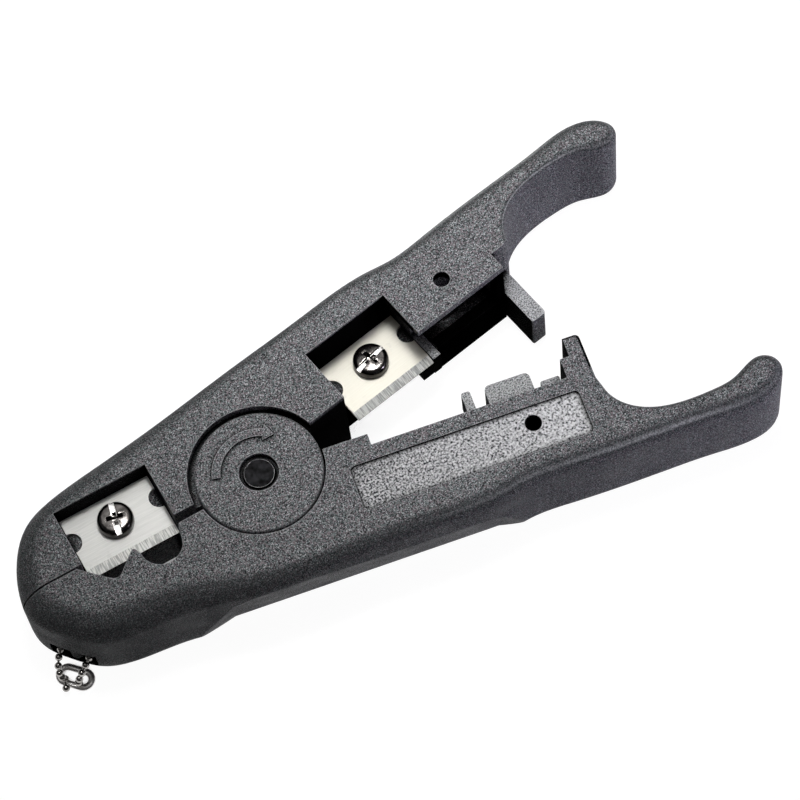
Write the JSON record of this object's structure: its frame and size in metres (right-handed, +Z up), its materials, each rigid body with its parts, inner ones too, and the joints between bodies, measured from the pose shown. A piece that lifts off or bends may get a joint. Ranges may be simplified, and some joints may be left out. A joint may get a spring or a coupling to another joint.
{
  "type": "network cable stripper",
  "caption": "Spring-open hand tool for stripping and cutting network cable, with notched jaws, screwed-in blades, a handle latch and a bead chain.",
  "frame": {"origin": "pivot axis at the plane that the tool lies on", "axes": "+Z up through the front face, +X from the pivot to the handles, +Y to the lever with the blades"},
  "size_m": [0.1241, 0.0589, 0.0187],
  "materials": {
    "lever_plastic": "fine spark-eroded texture",
    "cap_plastic": "fine spark-eroded texture",
    "pin_steel": "blackened",
    "spring_steel": "blackened",
    "blade_steel": "fine ground",
    "screw_steel": "bright plated",
    "chain_nickel": "bright nickel"
  },
  "bodies": {
    "lower_assembly": {"back_pivot_cap": "cap_plastic", "chain_bead_01": "chain_nickel", "chain_bead_02": "chain_nickel", "chain_bead_03": "chain_nickel", "chain_bead_04": "chain_nickel", "chain_bead_05": "chain_nickel", "chain_bead_06": "chain_nickel", "chain_bead_07": "chain_nickel", "chain_bead_08": "chain_nickel", "chain_bead_09": "chain_nickel", "chain_bead_10": "chain_nickel", "chain_bead_11": "chain_nickel", "chain_bead_12": "chain_nickel", "chain_bead_13": "chain_nickel", "chain_bead_14": "chain_nickel", "chain_bead_15": "chain_nickel", "chain_bead_16": "chain_nickel", "chain_bead_17": "chain_nickel", "chain_bead_18": "chain_nickel", "chain_bead_19": "chain_nickel", "chain_link_01": "chain_nickel", "chain_link_02": "chain_nickel", "chain_link_03": "chain_nickel", "chain_link_04": "chain_nickel", "chain_link_05": "chain_nickel", "chain_link_06": "chain_nickel", "chain_link_07": "chain_nickel", "chain_link_08": "chain_nickel", "chain_link_09": "chain_nickel", "chain_link_10": "chain_nickel", "chain_link_11": "chain_nickel", "chain_link_12": "chain_nickel", "chain_link_13": "chain_nickel", "chain_link_14": "chain_nickel", "chain_link_15": "chain_nickel", "chain_link_16": "chain_nickel", "chain_link_17": "chain_nickel", "chain_link_18": "chain_nickel", "chain_ring": "chain_nickel", "front_pivot_cap": "cap_plastic", "lower_lever": "lever_plastic", "pivot_pin": "pin_steel", "return_spring": "spring_steel"},
    "upper_assembly": {"upper_lever": "lever_plastic", "stripping_blade": "blade_steel", "cutter_blade": "blade_steel", "stripping_blade_screw": "screw_steel", "cutter_blade_screw": "screw_steel"}
  },
  "joints": [
    {"name": "handle_hinge", "type": "hinge", "parent": "lower_assembly", "child": "upper_assembly", "pos_m": [0, 0, 0.0092], "axis": [0, 0, -1], "range_deg": [0, 20.4], "stiffness_Nm_per_rad": 0.12, "springref_deg": -51.57, "deforming": ["return_spring"]}
  ]
}
